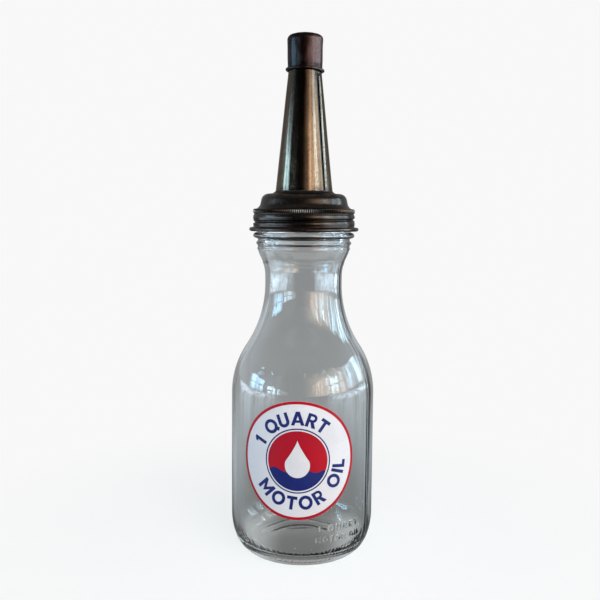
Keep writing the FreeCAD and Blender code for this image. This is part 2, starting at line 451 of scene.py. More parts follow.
MOULD_SEAM = math.radians(62)
MOULD_SEAM_RISE = 0.26
LETTERED_Z = 42.0                 # finer rows up to here
NECK_RINGS = (                    # height, size, half-width, how much of the wave it follows
    (205.8, 0.3, 0.5, 1.0),
    (220.4, 0.5, 0.5, 0.0),
    (216.4, 0.35, 0.5, 0.4),
    (222.8, -1.1, 1.0, 0.0),
    (218.4, -0.5, 1.0, 0.0))
SHOULDER_WORDS_Z, SHOULDER_WORDS_R = 134.0, 46.5
HEEL_WORDS_TURN = math.radians(31)
HEEL_WORDS = (("1 QUART", 3.9, 2.0, 0.17, 28.5),      # words, height, gap, weight, foot's Z
              ("MOTOR OIL", 3.6, 1.4, 0.18, 21.0))
LETTER_FLANK = 0.7
STIPPLE_Z, STIPPLE_REACH = 11.0, 6.0
THREAD_RISE = 1.45


def bottle_side(inset, top_r, step):
    """One face of the glass from the straight body up to the upright part of the neck."""
    shoulder = (BODY_R - SHOULDER_R, SHOULDER_Z)
    sweep = swing(shoulder, SHOULDER_R + NECK_SWEEP_R, SHOULDER_TURN)
    waist_r = sweep[0] - NECK_SWEEP_R - inset
    flare = (waist_r + FLARE_R + inset, WAIST_TOP_Z)
    both = FLARE_R + FLARE_TOP_R
    turn = math.degrees(math.acos(1 - (top_r - waist_r) / both))
    upright = swing(flare, both, 180 - turn)
    return chain(arc_points(shoulder, SHOULDER_R - inset, 0, SHOULDER_TURN, step),
                 arc_points(sweep, NECK_SWEEP_R + inset, 180 + SHOULDER_TURN, 180, step),
                 arc_points(flare, FLARE_R + inset, 180, 180 - turn, step),
                 arc_points(upright, FLARE_TOP_R - inset, -turn, 0, step))


def heel_points(foot_z, body_r, step):
    foot_r = BODY_R - HEEL_INSET
    count = int((HEEL_RISE - foot_z) * 1.25 / step)
    turns = np.linspace(0, math.pi / 2, count)
    return [(foot_r + (body_r - foot_r) * math.sin(t),
             HEEL_RISE - (HEEL_RISE - foot_z) * math.cos(t)) for t in turns]


def glass_outline():
    """The outside from the foot's centre to the rim, and the inside from the floor to the rim."""
    push_r = (FOOT_INNER_R ** 2 + PUSH_UP ** 2) / (2 * PUSH_UP)
    push_angle = math.degrees(math.acos(FOOT_INNER_R / push_r))
    bead_low, bead_high = BEAD_Z
    bead_middle = (bead_low + bead_high) / 2
    bead = [(NECK_TOP_R + (BEAD_R - NECK_TOP_R) * math.sin(t), bead_middle - 2 * math.cos(t))
            for t in np.linspace(0, math.pi, 13)]
    round_z = RIM_Z - RIM_ROUND
    foot_r = BODY_R - HEEL_INSET
    outside = chain(
        [(0, PUSH_UP)],
        arc_points((0, PUSH_UP - push_r), push_r, 89, push_angle, 1.5),
        straight((FOOT_INNER_R, 0), (foot_r, 0), 1.0),
        heel_points(0, BODY_R, 0.5),
        straight((BODY_R, HEEL_RISE), (BODY_R, LETTERED_Z), 0.5),
        straight((BODY_R, LETTERED_Z + 1), (BODY_R, SHOULDER_Z), 1.8),
        bottle_side(0, NECK_TOP_R, 0.55),
        bead,
        straight((NECK_TOP_R - 0.3, bead_high), (FINISH_R, bead_high + 0.5), 0.5),
        straight((FINISH_R, bead_high + 0.6), (FINISH_R, round_z), 0.35),
        arc_points((FINISH_R - RIM_ROUND, round_z), RIM_ROUND, 0, 90, 0.3))
    inside = chain(
        [(0, FLOOR_Z + FLOOR_CROWN)],
        [(foot_r * t, FLOOR_Z + FLOOR_CROWN * (1 - t * t)) for t in np.linspace(0.03, 1, 24)],
        heel_points(FLOOR_Z, BODY_R - WALL, 1.5),
        straight((BODY_R - WALL, HEEL_RISE), (BODY_R - WALL, SHOULDER_Z), 2.5),
        bottle_side(WALL, MOUTH_R, 1.6),
        straight((MOUTH_R, 224), (MOUTH_R, round_z), 1.5),
        arc_points((MOUTH_R + RIM_ROUND, round_z), RIM_ROUND, 180, 90, 0.4))
    return outside, inside


def front_weighted(fine, coarse, reach):
    """Column angles, closer together within reach of the front. fine and coarse are in mm."""
    front = np.arange(-reach, reach, fine / BODY_R)
    back = np.linspace(reach, TAU - reach, int((TAU - 2 * reach) * BODY_R / coarse))[:-1]
    turns = np.concatenate([front, back])
    return lambda radius: turns[None, :] + 0 * radius


def moulding(r, z, angle):
    """What the mould leaves on the outside: seams, rings, lettering and stipple."""
    turn = wrapped(angle)
    body = smooth_step(4, 16, z) * smooth_step(215, 200, z)
    from_seam = np.mod(angle - MOULD_SEAM + math.pi / 2, math.pi) - math.pi / 2
    grow = MOULD_SEAM_RISE * bell(from_seam * r, 0, 0.7) * body
    grow += ripple(11, angle, z, (1, 4), (1, 6), 0.07) * body
    wave = 0.25 * np.sin(2 * angle + 1) + 0.15 * np.sin(5 * angle)
    rings = sum(size * bell(z + wave * follows, height, width)
                for height, size, width, follows in NECK_RINGS)
    grow += (z < BEAD_Z[1]) * rings
    shoulder = words_in_line("ONE QUART", 5.0, 3.4, 0.16)
    grow += 0.35 * raised(shoulder, turn * SHOULDER_WORDS_R, z - SHOULDER_WORDS_Z, LETTER_FLANK)
    across = (turn - HEEL_WORDS_TURN) * BODY_R
    for words, height, gap, weight, foot in HEEL_WORDS:
        loops = words_in_line(words, height, gap, weight)
        grow += 0.75 * raised(loops, across, z - foot, LETTER_FLANK)
    stipple = ripple(13, angle, z, (50, 130), (60, 200), 0.1)
    return grow + bell(z, STIPPLE_Z, STIPPLE_REACH) * stipple


def glass_bottle():
    outside, inside = glass_outline()
    outside_count = len(outside) - 1

    def shape(r, z, angle):
        is_outside = (np.arange(len(r)) < outside_count)[:, None]
        rise, formed = helix_rise(angle, z, math.pi, GROOVE_FRONT_Z - PITCH, THREAD_TURNS, 0.35)
        thread = THREAD_RISE * formed * smooth_step(1.15, 0.35, np.abs(rise))
        thread = thread * (z > BEAD_Z[1] + 0.5)
        # Inside: blown glass, thicker and thinner in long upright waves.
        blown = smooth_step(9, 24, z) * smooth_step(232, 205, z)
        uneven = ripple(23, angle, z, (2, 7), (0.5, 3), 0.3)
        uneven += ripple(29, angle, z, (9, 22), (0.5, 5), 0.06)
        grow = np.where(is_outside, moulding(r, z, angle) + thread, blown * uneven)
        return r + grow * smooth_step(2, 12, r), z

    loop = outside + inside[::-1]
    piece = lathe("glass_body", loop, None, "bottle", GLASS, shape,
                  front_weighted(fine=0.5, coarse=1.3, reach=math.radians(80)),
                  smooth_angle=70)
    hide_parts("glass_bottle")


# ---- Collar ----

def collar_outline():
    dome = (DOME_FLAT_R, DOME_TOP_Z - DOME_ROUND)
    side_top = swing(dome, DOME_ROUND, DOME_LEAN)
    side_foot = swing(side_top, DOME_SIDE, DOME_LEAN - 90)
    flare = swing(side_foot, COLLAR_FLARE_R, DOME_LEAN)
    knurl_low, knurl_middle, _ = KNURL_Z
    wall_low, wall_high = THREAD_WALL_Z
    edge = (EDGE_R - EDGE_CURL, EDGE_Z)
    corner = wall_low - EDGE_Z - EDGE_CURL
    knurl = [(KNURL_R - 1.3 * (1 - math.sin(t)), knurl_middle + 1.75 * math.cos(t))
             for t in np.linspace(0.35, math.pi - 0.45, 15)]
    return chain(
        straight((DOME_HOLE_R, DOME_TOP_Z), (DOME_FLAT_R, DOME_TOP_Z), 1.0),
        arc_points(dome, DOME_ROUND, 90, DOME_LEAN, 0.5),
        straight(side_top, side_foot, 0.7),
        arc_points(flare, COLLAR_FLARE_R, 180 + DOME_LEAN, 250, 0.5),
        knurl,
        straight((THREAD_WALL_R - 0.5, knurl_low - 0.1), (THREAD_WALL_R, wall_high - 0.1), 0.4),
        straight((THREAD_WALL_R, wall_high - 0.3), (THREAD_WALL_R, wall_low), 0.25),
        arc_points((THREAD_WALL_R + corner, wall_low), corner, 180, 270, 0.3),
        arc_points(edge, EDGE_CURL, 90, -180, 0.3))


def collar_shell():
    outer = collar_outline()
    inner = offset_outline(outer, -SHEET)[::-1][::2]
    loop = [tuple(p) for p in inner] + outer
    inner_count = len(inner)

    def groove_at(z, angle):
        rise, formed = helix_rise(angle, z, math.pi / 2, GROOVE_FRONT_Z - 0.75 * PITCH,
                                  THREAD_TURNS, 0.6)
        low, high = THREAD_WALL_Z
        in_wall = smooth_step(low, low + 0.4, z) * smooth_step(high + 0.5, high, z)
        return formed * smooth_step(1.05, 0.25, np.abs(rise)) * in_wall

    def gap_at(r, z, angle):
        """1 in the gaps between the knurl's teeth, 0 on their crests and away from the bead."""
        low, middle, high = KNURL_Z
        on_bead = smooth_step(low - 0.1, middle - 0.6, z)
        on_bead = on_bead * smooth_step(high + 0.2, middle + 0.7, z)
        gap = np.abs(np.mod(angle * KNURL_TEETH / TAU, 1) - 0.5) * 2
        return gap * on_bead * (r > KNURL_R - 0.9)

    def shape(r, z, angle):
        wobble = ripple(31, angle, z, (2, 9), (1, 9), 0.05)
        low, high = THREAD_WALL_Z
        swell = bell(z, low + 1.7, 1.3) + bell(z, high - 1.7, 1.3)
        swell = 0.3 * swell * (r > THREAD_WALL_R - 0.6)
        hem = smooth_step(THREAD_WALL_R + 0.6, EDGE_R - 0.6, r) * (z < low)
        dip = hem * ripple(37, angle, z * 0, (1, 7), (0, 0), 0.16)
        sunk = GROOVE_DEPTH * groove_at(z, angle) + KNURL_DEPTH * gap_at(r, z, angle)
        return r - sunk + swell + wobble, z + dip

    def worn(r, z, angle):
        """Rubbed on the teeth, bends and curled edge; clogged in the gaps and the groove."""
        is_outer = (np.arange(len(r)) >= inner_count)[:, None]
        gap = gap_at(r, z, angle)
        teeth = bell(z, KNURL_Z[1], 1.2) * (1 - gap) * (r > KNURL_R - 0.7)
        hem = 0.2 * smooth_step(EDGE_R - 0.7, EDGE_R, r)
        bends = 0.35 * bell(z, THREAD_WALL_Z[1], 0.5) + 0.45 * bell(z, DOME_TOP_Z - 1.2, 0.9)
        patchy = 0.55 + 0.45 * ripple(39, angle, z, (3, 17), (2, 30), 1.0)
        clogged = smooth_step(0.3, 0.7, gap) + 0.6 * bell(z, KNURL_Z[0] - 0.5, 0.5)
        clogged = clogged + 0.7 * smooth_step(0.3, 0.9, groove_at(z, angle))
        return is_outer * ((teeth + hem + bends) * patchy - clogged)

    piece = lathe("screw_collar", loop, KNURL_TEETH * 4, "spout", COLLAR, shape, worn=worn,
                  smooth_angle=50)
    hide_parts("collar_shell")


# ---- Spout and its solder ----

SEAM_FOOT_Z, SEAM_TOP_Z = 256.0, 337.5


def cone_r(z):
    return CONE_FOOT_R - CONE_TAPER * (z - DOME_TOP_Z)


SEAM_STEPS = np.array([-2.4, -2.0, -1.7, -1.4, -1.1, -0.95, -0.8, -0.65, -0.5, -0.3, 0, 0.3,
                       0.5, 0.65, 0.8, 0.95, 1.2, 1.6, 2.2, 2.8, 3.2, 3.6, 4.0, 4.4])


def seam_angles(radius):
    """Columns at fixed distances across the seam, in millimetres, and evenly spread elsewhere."""
    near = SEAM_STEPS[None, :] / np.maximum(radius, 1.0)
    away = np.linspace(0, 1, 222)[None, 1:-1]
    rest = near[:, -1:] + away * (TAU - near[:, -1:] + near[:, :1])
    return SEAM_AZIMUTH + np.concatenate([near, rest], 1)


def seam_height(across):
    """Folded lock seam: a narrow lip, a deep gap, and the broader lip of the lap over it."""
    lip = 0.25 * smooth_step(-2.1, -1.4, across) * (across < 0)
    lap = 0.5 * smooth_step(4.1, 3.1, across) * (across >= 0)
    gap = smooth_step(0.95, 0.55, np.abs(across))
    return (lip + lap) * (1 - gap) - 0.3 * gap


def spout_cone():
    lean = math.degrees(math.atan(CONE_TAPER))
    hem_z = CONE_TIP_Z - TIP_HEM
    bend_z = DOME_TOP_Z - SHEET + FOOT_BEND
    outer = chain(
        arc_points((cone_r(hem_z) - TIP_HEM, hem_z), TIP_HEM, 180, lean, 0.3),
        straight((cone_r(hem_z - 1), hem_z - 1), (cone_r(338), 338), 1.5),
        straight((cone_r(337), 337), (cone_r(258), 258), 1.5),
        arc_points((cone_r(bend_z) + FOOT_BEND, bend_z), FOOT_BEND, 180, 270, 0.3),
        straight((cone_r(bend_z) + FOOT_BEND + 0.3, DOME_TOP_Z - SHEET),
                 (FOOT_FLANGE_R, DOME_TOP_Z - SHEET), 1.0))
    inner = offset_outline(outer, -SHEET)[::-1]
    loop = [tuple(p) for p in inner] + outer
    inner_count = len(inner)

    def shape(r, z, angle):
        across = wrapped(angle - SEAM_AZIMUTH) * r
        standing = smooth_step(SEAM_TOP_Z, SEAM_TOP_Z - 3.5, z)
        standing = standing * smooth_step(SEAM_FOOT_Z, SEAM_FOOT_Z + 2, z)
        is_outer = (np.arange(len(r)) >= inner_count)[:, None]
        seam = np.where(is_outer, standing * seam_height(across), 0)
        mid_cone = smooth_step(SEAM_FOOT_Z, SEAM_FOOT_Z + 6, z) * smooth_step(340, 330, z)
        dents = mid_cone * (ripple(41, angle, z, (1, 4), (3, 12), 0.1)
                            + ripple(43, angle, z, (4, 11), (8, 40), 0.025))
        return r + seam + dents, z

    def worn(r, z, angle):
        """Black in the seam, in pits, round the foot and near the tip; rubbed on the lips."""
        across = wrapped(angle - SEAM_AZIMUTH) * r
        patchy = 0.5 + 0.5 * ripple(45, angle, z, (2, 9), (8, 50), 1.0)
        black = 1.2 * bell(across, 0, 0.8) + 0.15 * bell(across, 4.0, 0.4)
        pits = ripple(49, angle, z, (15, 60), (60, 250), 1.0)
        black = black + 0.8 * smooth_step(1.5, 1.9, pits)
        black = black + 0.7 * patchy * smooth_step(261, 257, z) + 0.5 * smooth_step(285, 338, z)
        lips = 0.5 * (bell(across, 1.3, 0.4) + 0.6 * bell(across, -1.3, 0.3)) * patchy
        lips = lips + 0.4 * bell(across, 2.4, 0.9)
        streaks = 0.16 * ripple(47, angle, z, (8, 40), (1, 6), 1.0)
        return (lips + streaks) * (1 - smooth_step(0.2, 0.6, black)) - black

    piece = lathe("pour_spout", loop, None, "spout", SPOUT, shape, seam_angles, worn,
                  smooth_angle=35)
    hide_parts("spout_cone")


def solder_bead():
    top = (cone_r(SOLDER_TOP_Z), SOLDER_TOP_Z)
    foot = (SOLDER_R, DOME_TOP_Z)
    face = [(top[0] + 0.1 + (foot[0] - top[0]) * t ** 1.35, top[1] + (foot[1] - top[1]) * t ** 0.75)
            for t in np.linspace(0, 1, 12)]
    loop = chain([(cone_r(DOME_TOP_Z) + 0.3, DOME_TOP_Z), top], face)[::-1]

    def shape(r, z, angle):
        lump = ripple(51, angle, z * 0, (6, 40), (0, 0), 0.16)
        lump = lump + ripple(53, angle, z * 0, (50, 120), (0, 0), 0.06)
        out = smooth_step(20.3, 21.6, r)
        up = smooth_step(DOME_TOP_Z + 0.2, SOLDER_TOP_Z, z)
        return r + lump * out, z + up * (lump - 0.25)

    piece = lathe("solder_fillet", loop, 400, "spout", SOLDER, shape)
    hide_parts("solder_bead")


# ---- Tip cap ----

def tip_cap():
    curl = (CAP_EDGE_R - CAP_MOUTH_R) / 2
    corner_r = CAP_CORNER - SHEET
    inner_r = CAP_R - SHEET
    inner = chain(
        [(0, CAP_TOP_Z - SHEET)],
        straight((0.6, CAP_TOP_Z - SHEET), (inner_r - corner_r, CAP_TOP_Z - SHEET), 1.2),
        arc_points((inner_r - corner_r, CAP_TOP_Z - CAP_CORNER), corner_r, 90, 0, 0.4),
        straight((inner_r, CAP_TOP_Z - CAP_CORNER - 0.5),
                 (CAP_MOUTH_R, CAP_EDGE_Z + 2 * curl), 0.8),
        arc_points((CAP_MOUTH_R + curl, CAP_EDGE_Z), curl, 180, 440, 0.2))
    outer = [tuple(p) for p in offset_outline(inner, SHEET)]
    outer[0] = (0, CAP_TOP_Z)
    loop = inner + outer[::-1]

    def shape(r, z, angle):
        wall = smooth_step(CAP_EDGE_Z + 3, CAP_EDGE_Z + 7, z) * smooth_step(2, 8, r)
        dents = wall * (ripple(61, angle, z, (1, 5), (15, 60), 0.1)
                        + ripple(67, angle, z, (5, 14), (40, 120), 0.035))
        rim = smooth_step(CAP_EDGE_Z + 5, CAP_EDGE_Z, z)
        tilt = -0.45 * np.sin(angle - 0.35)
        dip = rim * (tilt + ripple(71, angle, z * 0, (2, 6), (0, 0), 0.1))
        return r + dents, z + dip

    def worn(r, z, angle):
        """Rubbed on the top corner and the rim; clogged above the rim. One side of the wall is made
        brighter as a painted highlight, the opposite side darker as painted shade.
        """
        patchy = 0.4 + 0.6 * ripple(73, angle, z, (2, 14), (10, 60), 1.0)
        corner = 0.5 * bell(z, CAP_TOP_Z - 1.0, 0.9) * smooth_step(7, 9, r)
        rim = 0.7 * smooth_step(CAP_EDGE_R - 0.5, CAP_EDGE_R, r)
        clogged = 0.8 * bell(z, CAP_EDGE_Z + 2.6, 1.0) * (r < CAP_R + 0.2)
        side = wrapped(angle)
        wall = smooth_step(CAP_R - 2, CAP_R, r)
        # painted shade: the left side of the wall is darkened
        clogged = clogged + 0.8 * bell(side, -0.7, 0.5) * wall
        # painted highlight: the right side of the wall is made brighter bare metal
        painted_highlight_side = 0.55 * bell(side, 0.85, 0.4) * wall
        return (corner + rim) * patchy + painted_highlight_side - clogged

    piece = lathe("slip_cap", loop, 256, "cap", CAP, shape, worn=worn, smooth_angle=50)
    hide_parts("tip_cap")


# ---- Label ----

LABEL_THICKNESS = 0.12
LABEL_FRONT = BODY_R + LABEL_THICKNESS
INK = 0.035
BORDER = 2.0
RING_R = (22.2, 21.3)
FIELD_R = 20.4
POOL_LEVEL, POOL_WAVE, POOL_WAVELENGTH = -6.5, 1.5, 19
POOL_REACH = math.radians(30)
DROP_TIP, DROP_FOOT, DROP_R = 14.0, -11.5, 8.4
WORDS_R, WORDS_HEIGHT, WORDS_WEIGHT = 24.2, 9.4, 0.232


def flat_mesh(loops, name):
    """Filled flat loops, with holes where one lies in another, as one mesh."""
    curve = bpy.data.curves.new(name, "CURVE")
    curve.dimensions = "2D"
    curve.fill_mode = "BOTH"
    for ring in loops:
        spline = curve.splines.new("POLY")
        spline.points.add(len(ring) - 1)
        for point, (u, v) in zip(spline.points, ring):
            point.co = (u, v, 0, 1)
        spline.use_cyclic_u = True
    holder = add_object(name, curve)
    bpy.context.view_layer.update()
    mesh = bpy.data.meshes.new_from_object(
        holder.evaluated_get(bpy.context.evaluated_depsgraph_get()))
    bpy.data.objects.remove(holder)
    bpy.data.curves.remove(curve)
    return mesh


def wrap_on_bottle(name, flat, front, thickness, material):
    """Gives a flat mesh a thickness, cuts it into narrow strips and wraps it round the body."""
    bm = bmesh.new()
    bm.from_mesh(flat)
    bpy.data.meshes.remove(flat)
    strip = 1.0
    reach = int(LABEL_R / strip) + 1
    for i in range(-reach, reach + 1):
        bmesh.ops.bisect_plane(bm, geom=bm.verts[:] + bm.edges[:] + bm.faces[:],
                               plane_co=(i * strip, 0, 0), plane_no=(1, 0, 0), dist=1e-4)
    bmesh.ops.remove_doubles(bm, verts=bm.verts, dist=1e-3)
    bmesh.ops.recalc_face_normals(bm, faces=bm.faces)
    outer = list(bm.verts)
    inner = {vert: bm.verts.new(vert.co) for vert in outer}
    rims = [(loop.vert, loop.link_loop_next.vert)
            for face in bm.faces for loop in face.loops if loop.edge.is_boundary]
    for face in list(bm.faces):
        bm.faces.new([inner[vert] for vert in reversed(face.verts)])
    for first, second in rims:
        bm.faces.new([second, first, inner[first], inner[second]])
    for vert in outer:
        x, y = vert.co.x, vert.co.y
        angle = LABEL_AZIMUTH + x / BODY_R
        for corner, radius in ((vert, front), (inner[vert], front - thickness)):
            corner.co = Vector((radius * math.sin(angle), -radius * math.cos(angle),
                                LABEL_Z + y)) * MM
    bmesh.ops.recalc_face_normals(bm, faces=bm.faces)
    mesh = bpy.data.meshes.new(name)
    bm.to_mesh(mesh)
    bm.free()
    piece = shaded_object(name, mesh, material, smooth_angle=35)
    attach(piece, "bottle")
    return piece


def ring_points(radius):
    return [(radius * math.cos(t), radius * math.sin(t))
            for t in np.linspace(0, TAU, 160, endpoint=False)]


def oval(centre, half_width, half_height, first=0, last=360, count=40):
    """Points round an upright ellipse from one angle in degrees to another."""
    turns = np.radians(np.linspace(first, last, count, endpoint=abs(last - first) < 360))
    return [(centre[0] + half_width * math.cos(t), centre[1] + half_height * math.sin(t))
            for t in turns]


def letter_outlines(w):
    """Plain block capitals one unit high with strokes w wide: {letter: (width, loops)}."""
    half = w / 2
    round_outer = oval((0.5, 0.5), 0.5, 0.52)
    round_inner = oval((0.5, 0.5), 0.5 - w, 0.52 - w)
    tail = [(0.8, -0.1), (1.02, 0.08)]
    open_ring = oval((0.5, 0.5), 0.5, 0.52, -34, 296)
    return {
        " ": (0.42, []),
        "1": (0.14 + w, [[(0.14, 0), (0.14 + w, 0), (0.14 + w, 1), (0.2, 1), (0, 0.86),
                          (0, 0.66), (0.14, 0.74)]]),
        "I": (w, [[(0, 0), (w, 0), (w, 1), (0, 1)]]),
        "L": (0.58, [[(0, 0), (0.58, 0), (0.58, w), (w, w), (w, 1), (0, 1)]]),
        "T": (0.74, [[(0.37 - half, 0), (0.37 + half, 0), (0.37 + half, 1 - w), (0.74, 1 - w),
                      (0.74, 1), (0, 1), (0, 1 - w), (0.37 - half, 1 - w)]]),
        "E": (0.6, [[(0, 0), (0.6, 0), (0.6, w), (w, w), (w, 0.5 - half), (0.54, 0.5 - half),
                     (0.54, 0.5 + half), (w, 0.5 + half), (w, 1 - w), (0.6, 1 - w), (0.6, 1),
                     (0, 1)]]),
        "N": (0.84, [[(0, 0), (w, 0), (w, 0.56), (0.84 - w, 0), (0.84, 0), (0.84, 1),
                      (0.84 - w, 1), (0.84 - w, 0.44), (w, 1), (0, 1)]]),
        "M": (1.04, [[(0, 0), (w, 0), (w, 0.58), (0.52, 0.1), (1.04 - w, 0.58), (1.04 - w, 0),
                      (1.04, 0), (1.04, 1), (1.04 - 0.9 * w, 1), (0.52, 0.5), (0.9 * w, 1),
                      (0, 1)]]),
        "A": (0.96, [[(0, 0), (1.08 * w, 0), (1.08 * w + 0.068, 0.2), (0.892 - 1.08 * w, 0.2),
                      (0.96 - 1.08 * w, 0), (0.96, 0), (0.62, 1), (0.34, 1)],
                     [(1.08 * w + 0.129, 0.38), (0.831 - 1.08 * w, 0.38),
                      (0.48, 0.38 + (0.351 - 1.08 * w) / 0.34)]]),
        "R": (0.76, [[(0, 0), (w, 0), (w, 0.38), (0.3, 0.38), (0.79 - 1.25 * w, 0), (0.79, 0),
                      (0.55, 0.41)] + oval((0.4, 0.69), 0.31, 0.31, -60, 90, 20) + [(0, 1)],
                     [(w, 0.69 - 0.31 + 0.8 * w), (w, 1 - 0.8 * w)]
                     + oval((0.4, 0.69), 0.31 - 0.8 * w, 0.31 - 0.8 * w, 90, -90, 14)]),
        "U": (0.8, [[(0, 1), (0, 0.38)] + oval((0.4, 0.38), 0.4, 0.4, 180, 360, 24)
                    + [(0.8, 1), (0.8 - w, 1)]
                    + oval((0.4, 0.38), 0.4 - w, 0.4 - w, 360, 180, 20) + [(w, 1)]]),
        "O": (1.0, [round_outer, round_inner]),
        "Q": (1.0, [open_ring + tail, round_inner]),
    }


def letters_on_arc(words, inner_r, height, gap, weight, middle=0.0, under=False):
    """Loops for upright letters on the upper arc, or the lower arc where under is true.

    middle turns the words about the centre: anticlockwise from straight up, or from straight
    down.
    """
    shapes = letter_outlines(weight)
    widths = [shapes[c][0] * height for c in words]
    total = sum(widths) + gap * (len(words) - 1)
    middle_r = inner_r + height / 2
    along = -total / 2
    loops = []
    for letter, width in zip(words, widths):
        turn = (along + width / 2) / middle_r
        along += width + gap
        turn = turn + middle if under else turn - middle
        outward = Vector((math.sin(turn), -math.cos(turn) if under else math.cos(turn)))
        reading = Vector((math.cos(turn), math.sin(turn) if under else -math.sin(turn)))
        for loop in shapes[letter][1]:
            placed = []
            for u, v in loop:
                rise = inner_r + height * (1 - v if under else v)
                placed.append(tuple(outward * rise + reading * (u * height - width / 2)))
            loops.append(placed)
    return loops


def words_in_line(words, height, gap, weight):
    """Loops for letters along a straight line, centred on zero, standing on v = 0."""
    shapes = letter_outlines(weight)
    widths = [shapes[c][0] * height for c in words]
    along = -(sum(widths) + gap * (len(words) - 1)) / 2
    loops = []
    for letter, width in zip(words, widths):
        loops += [[(along + u * height, v * height) for u, v in loop]
                  for loop in shapes[letter][1]]
        along += width + gap
    return loops


def raised(loops, u, v, slope):
    """1 inside the loops, 0 outside, with flanks slope wide. u and v are arrays."""
    result = np.zeros(u.shape)
    every = np.concatenate(loops)
    low, high = every.min(0) - slope, every.max(0) + slope
    near = (u > low[0]) & (u < high[0]) & (v > low[1]) & (v < high[1])
    if not near.any():
        return result
    pu, pv = u[near][:, None], v[near][:, None]
    inside = np.zeros(len(pu), bool)
    distance = np.full(len(pu), 1e9)
    for loop in loops:
        a = np.array(loop)
        b = np.roll(a, -1, 0)
        crosses = (a[:, 1] > pv) != (b[:, 1] > pv)
        rise = np.where(b[:, 1] == a[:, 1], 1e-9, b[:, 1] - a[:, 1])
        inside ^= (crosses & (pu < (b[:, 0] - a[:, 0]) * (pv - a[:, 1]) / rise + a[:, 0])
                   ).sum(1) % 2 == 1
        edge = b - a
        t = ((pu - a[:, 0]) * edge[:, 0] + (pv - a[:, 1]) * edge[:, 1]) / (edge ** 2).sum(1)
        t = np.clip(t, 0, 1)
        gap = np.hypot(pu - a[:, 0] - t * edge[:, 0], pv - a[:, 1] - t * edge[:, 1])
        distance = np.minimum(distance, gap.min(1))
    result[near] = smooth_step(-slope / 2, slope / 2, np.where(inside, distance, -distance))
    return result


def drop_points(tip, base, radius):
    """A drop: a round bulb of that radius standing on base, drawn up to a tip."""
    centre = base + radius
    lower = [(radius * math.sin(a), centre - radius * math.cos(a))
             for a in np.linspace(-math.pi * 0.62, math.pi * 0.62, 40)]
    neck = lower[-1]
    sides = []
    for t in np.linspace(0, 1, 14)[1:]:
        u = neck[0] * (1 - t) ** 1.25
        sides.append((u, neck[1] + (tip - neck[1]) * t))
    return lower + sides + [(-u, v) for u, v in sides[-2::-1]]


def label():
    base = wrap_on_bottle("label_ground", flat_mesh([ring_points(LABEL_R)], "ground"),
                          LABEL_FRONT, LABEL_THICKNESS, WHITE_INK)
    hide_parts("label_decal")

    def ink(name, loops, material, layer=1):
        wrap_on_bottle(name, flat_mesh(loops, name), LABEL_FRONT + layer * INK, INK, material)

    ink("label_border", [ring_points(LABEL_R - 0.05), ring_points(LABEL_R - BORDER)], RED_INK)
    ink("label_inner_ring", [ring_points(radius) for radius in RING_R], NAVY_INK)
    ink("label_field", [ring_points(FIELD_R)], RED_INK)
    half = FIELD_R * math.cos(POOL_REACH)
    crest = [(u, POOL_LEVEL + POOL_WAVE * math.sin(u * TAU / POOL_WAVELENGTH + 0.6))
             for u in np.linspace(-half, half, 60)]
    first = math.atan2(crest[-1][1], crest[-1][0])
    last = math.atan2(crest[0][1], crest[0][0])
    basin = [(FIELD_R * math.cos(t), FIELD_R * math.sin(t))
             for t in np.linspace(first, last, 80)[1:-1]]
    ink("label_pool", [crest + basin], NAVY_INK, 2)
    ink("label_drop", [drop_points(DROP_TIP, DROP_FOOT, DROP_R)], WHITE_INK, 3)
    words = letters_on_arc("1 QUART", WORDS_R, WORDS_HEIGHT, 1.5, WORDS_WEIGHT,
                           math.radians(13))
    words += letters_on_arc("MOTOR OIL", WORDS_R, WORDS_HEIGHT, 1.3, WORDS_WEIGHT,
                            math.radians(16), under=True)
    ink("label_words", words, NAVY_INK)


# ---- Build ----

glass_bottle()
collar_shell()
spout_cone()
solder_bead()
tip_cap()
label()
for node, material in (("seal_gasket", gasket_material()), ("cap_liner", cork_material())):
    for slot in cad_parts[node].material_slots:
        slot.material = material


# ---- Stage, light and camera ----

PALE = (0.94, 0.94, 0.94)         # the floor and backdrop as the camera sees them
# The floor as glass and metal see it: a glow with a painted shadow near the bottle and painted
# light beside it, under its foot and in streaks.
FLOOR_NEAR_PAINTED_SHADOW, FLOOR_FAR = (0.165, 0.17, 0.165), (0.31, 0.32, 0.325)
FLOOR_BESIDE_PAINTED_LIGHT, FLOOR_UNDER_PAINTED_LIGHT = (0.41, 0.46, 0.5), (0.5, 0.52, 0.53)
FLOOR_IN_FRONT = (0.03, 0.03, 0.03)
FLOOR_LIT = (3.2, 4.0, 4.7)
FLOOR_HALF, FLOOR_LEVEL = 30.0, -0.0002

CREAM, WARM = (4.4, 3.6, 2.9), (2.6, 2.0, 1.5)
SKY, HAZE = (6.6, 9.6, 11.4), (4.8, 5.8, 6.6)
BLUE, DUSK = (5.0, 9.4, 13.0), (3.4, 5.8, 8.0)
FAINT, DIM = (3.0, 2.8, 2.5), (1.8, 1.6, 1.4)
WINDOWS = (                       # side, along, up, panes, colour, colour low down
    (1, (-2.6, -1.1), (0.0, 0.72), (4, 3), CREAM, WARM),
    (1, (-0.95, -0.3), (0.0, 0.52), (3, 2), SKY, HAZE),
    (1, (-0.18, 0.5), (0.0, 0.5), (2, 1), SKY, HAZE),
    (-1, (-2.4, -1.5), (0.03, 0.2), (2, 2), FAINT, DIM),
    (-1, (-1.4, -0.6), (-0.02, 0.19), (3, 2), SKY, HAZE),
    (-1, (-0.45, 0.14), (0.0, 0.26), (2, 2), BLUE, DUSK))
BAR_ACROSS, BAR_UP = 0.26, 0.14   # the bars' widths as parts of a pane
LIT_WALL = (2.3, 1.75, 1.28)
WALL_TONES = (0.014, 0.39)        # behind the camera and behind the bottle
CEILING = (0.22, 0.22, 0.22)

